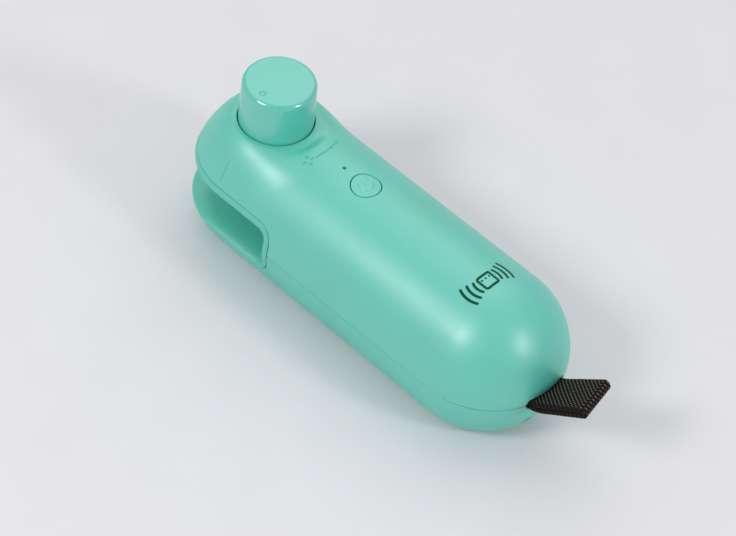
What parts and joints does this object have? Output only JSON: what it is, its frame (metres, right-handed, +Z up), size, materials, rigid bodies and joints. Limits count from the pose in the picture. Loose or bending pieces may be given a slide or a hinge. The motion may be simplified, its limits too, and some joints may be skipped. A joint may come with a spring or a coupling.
{
  "type": "handheld bag heat sealer",
  "caption": "Pill-shaped handheld heat sealer: a bag mouth at one end, a turn-and-press knob over it, a power button and a webbing wrist loop.",
  "frame": {"origin": "on the base plane, under the middle of the overall box", "axes": "+X from the bag mouth towards the wrist loop, +Y across the body, +Z up through the knob"},
  "size_m": [0.1384, 0.044, 0.052],
  "materials": {
    "shell_mint": "satin moulded, fine texture",
    "liner_mint": "satin moulded",
    "knob_mint": "polished",
    "silicone": "soft matt silicone",
    "black_nylon": "moulded",
    "white_nylon": "moulded",
    "steel": "plated",
    "heater_aluminium": "machined",
    "ptfe_cloth": "coated glass cloth",
    "circuit_board": "solder mask",
    "clear_plastic": "clear, polished",
    "cell_wrap": "shrink sleeve over a metal can",
    "red_wire": "insulation",
    "black_wire": "insulation",
    "ribbon_film": "polyimide film",
    "webbing": "woven polyester"
  },
  "bodies": {
    "housing": {"upper_shell": "shell_mint", "lower_shell": "shell_mint", "mouth_liner": "liner_mint", "case_screw_1": "steel", "case_screw_2": "steel", "case_screw_3": "steel", "case_screw_4": "steel", "press_guide": "white_nylon", "seal_pad": "silicone", "press_spring": "steel", "heater_ribbon": "ribbon_film", "safety_switch": "black_nylon", "tact_switch": "black_nylon", "light_pipe": "clear_plastic", "status_led": "clear_plastic", "main_board": "circuit_board", "board_screw_1": "steel", "board_screw_2": "steel", "control_chip": "black_nylon", "power_inductor": "black_nylon", "battery_cell": "cell_wrap", "battery_lead_positive": "red_wire", "battery_lead_negative": "black_wire", "charge_board": "circuit_board", "usb_c_receptacle": "steel", "board_link_cable": "black_wire", "strap_pin": "steel", "carry_strap": "webbing"},
    "press_head": {"press_carriage": "white_nylon", "heater_block": "heater_aluminium", "heating_strip": "steel", "ptfe_cover": "ptfe_cloth", "thermistor": "black_nylon", "level_switch": "black_nylon"},
    "knob": {"press_knob": "knob_mint", "level_rotor": "steel"},
    "button": {"power_button": "shell_mint", "tact_plunger": "white_nylon"},
    "interlock": {"safety_plunger": "white_nylon"}
  },
  "joints": [
    {"name": "knob_press", "type": "slide", "parent": "housing", "child": "press_head", "axis": [0, 0, -1], "range_m": [0, 0.0115], "stiffness_N_per_m": 350, "springref_m": -0.004, "deforming": ["press_spring", "heater_ribbon"]},
    {"name": "knob_turn", "type": "hinge", "parent": "press_head", "child": "knob", "pos_m": [-0.04815, 0, 0.045], "axis": [0, 0, 1], "range_deg": [-35, 235]},
    {"name": "button_press", "type": "slide", "parent": "housing", "child": "button", "axis": [0, 0, -1], "range_m": [0, 0.0006], "stiffness_N_per_m": 1500, "springref_m": -0.0004},
    {"name": "interlock_push", "type": "slide", "parent": "housing", "child": "interlock", "axis": [1, 0, 0], "range_m": [0, 0.00055]}
  ],
  "couplings": [
    {"joint": "interlock_push", "follows": "knob_press", "ratio": 0.043478}
  ]
}
